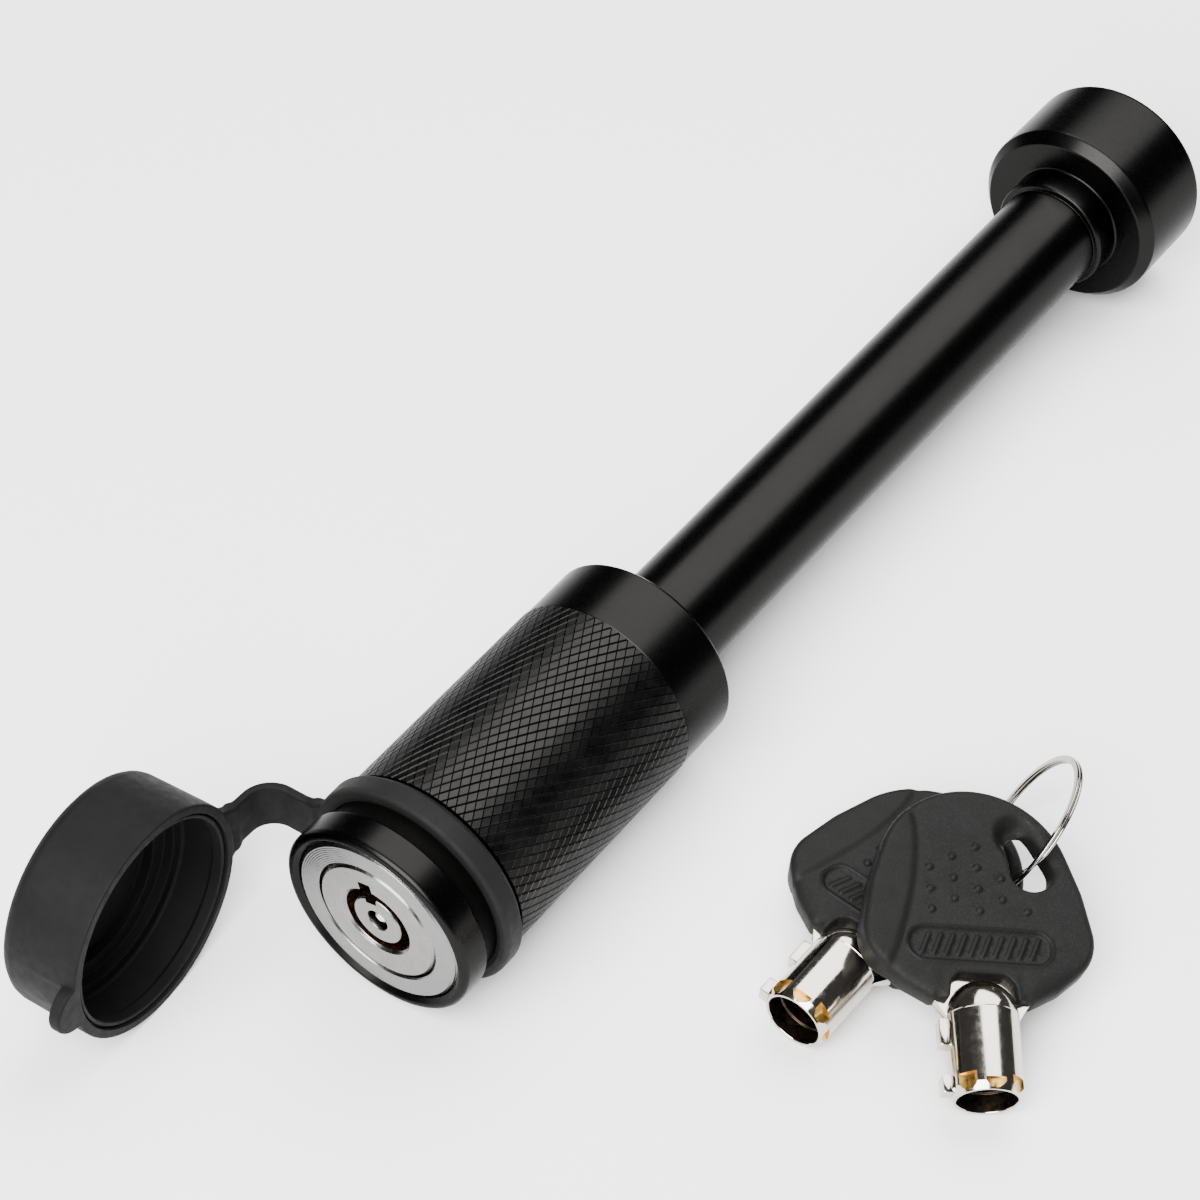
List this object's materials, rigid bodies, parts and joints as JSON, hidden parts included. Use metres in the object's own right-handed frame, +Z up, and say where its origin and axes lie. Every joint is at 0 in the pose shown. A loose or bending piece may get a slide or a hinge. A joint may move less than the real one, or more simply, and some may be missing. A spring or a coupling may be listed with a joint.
{
  "type": "hitch pin lock",
  "caption": "Straight receiver hitch pin with a push-on tubular-key lock head, a tethered rubber dust cap and keys on a split ring.",
  "frame": {"origin": "on the shank's axis, where the shank leaves the collar of the fixed head", "axes": "+X along the shank from the fixed head towards the lock's face, +Z up from the surface that the set lies on"},
  "size_m": [0.2197, 0.112, 0.0324],
  "materials": {
    "black_metal": "satin-gloss black plating",
    "rubber": "matte black rubber",
    "nickel": "bright nickel plate",
    "steel": "turned steel",
    "brass": "turned brass",
    "bow_plastic": "fine-grained black moulded plastic"
  },
  "bodies": {
    "pin": {"hitch_pin": "black_metal"},
    "seal": {"shaft_seal": "rubber"},
    "lock_head": {"lock_housing": "black_metal", "ball_carrier": "steel", "cylinder_shell": "nickel", "face_ring": "nickel", "driver_bushing": "brass", "anchor_pin": "steel", "cylinder_dowel": "steel", "cylinder_oring": "rubber", "pin_springs": "steel"},
    "plug": {"rotor_spindle": "nickel", "drill_pin": "steel", "cam_cup": "steel", "spindle_clip": "steel"},
    "key_pin_set": {"key_pins": "brass"},
    "driver_set": {"driver_pins": "brass"},
    "ball_a": {"locking_ball_a": "steel"},
    "ball_b": {"locking_ball_b": "steel"},
    "cap_ring": {"strap_ring": "rubber", "cap_strap": "rubber"},
    "cap": {"dust_cap": "rubber"},
    "ring": {"key_ring": "nickel"},
    "key_a": {"key_tube_a": "nickel", "key_blade_a": "nickel", "key_bow_a": "bow_plastic"},
    "key_b": {"key_tube_b": "nickel", "key_blade_b": "nickel", "key_bow_b": "bow_plastic"}
  },
  "joints": [
    {"name": "lock_slide", "type": "slide", "parent": "pin", "child": "seal", "axis": [1, 0, 0], "range_m": [0, 0.1]},
    {"name": "lock_spin", "type": "hinge", "parent": "seal", "child": "lock_head", "pos_m": [0.10725, 0, 0], "axis": [1, 0, 0], "continuous": true},
    {"name": "plug_turn", "type": "hinge", "parent": "lock_head", "child": "plug", "pos_m": [0.14, 0, 0], "axis": [-1, 0, 0], "range_deg": [0, 90]},
    {"name": "key_pin_slide", "type": "slide", "parent": "plug", "child": "key_pin_set", "axis": [1, 0, 0], "range_m": [-0.002, 0], "stiffness_N_per_m": 60, "springref_m": 0.004},
    {"name": "driver_slide", "type": "slide", "parent": "lock_head", "child": "driver_set", "axis": [1, 0, 0], "range_m": [-0.002, 0], "deforming": ["pin_springs"]},
    {"name": "ball_a_slide", "type": "slide", "parent": "lock_head", "child": "ball_a", "axis": [0, 0, 1], "range_m": [-0.00161, 0]},
    {"name": "ball_b_slide", "type": "slide", "parent": "lock_head", "child": "ball_b", "axis": [0, 0, -1], "range_m": [-0.00161, 0]},
    {"name": "cap_swivel", "type": "hinge", "parent": "lock_head", "child": "cap_ring", "pos_m": [0.1543, 0, 0], "axis": [1, 0, 0], "continuous": true},
    {"name": "cap_hinge", "type": "hinge", "parent": "cap_ring", "child": "cap", "pos_m": [0.1564, -0.0235, 0], "axis": [-0.0142, 0.0132, 0.9998], "range_deg": [0, 86], "deforming": ["cap_strap"]},
    {"name": "ring_lift", "type": "slide", "parent": "pin", "child": "ring", "axis": [0, 0, 1], "range_m": [0, 0.05]},
    {"name": "key_a_swing", "type": "hinge", "parent": "ring", "child": "key_a", "pos_m": [0.10544, 0.05971, -0.00515], "axis": [-0.3176, 0.4586, 0.83], "range_deg": [-25, 0]},
    {"name": "key_b_swing", "type": "hinge", "parent": "ring", "child": "key_b", "pos_m": [0.10506, 0.05527, -0.01142], "axis": [0, 0, 1], "range_deg": [-6, 0]}
  ],
  "couplings": [
    {"joint": "driver_slide", "follows": "key_pin_slide", "ratio": 1},
    {"joint": "ball_a_slide", "follows": "plug_turn", "m_per_rad": -0.0010186},
    {"joint": "ball_b_slide", "follows": "plug_turn", "m_per_rad": -0.0010186}
  ]
}
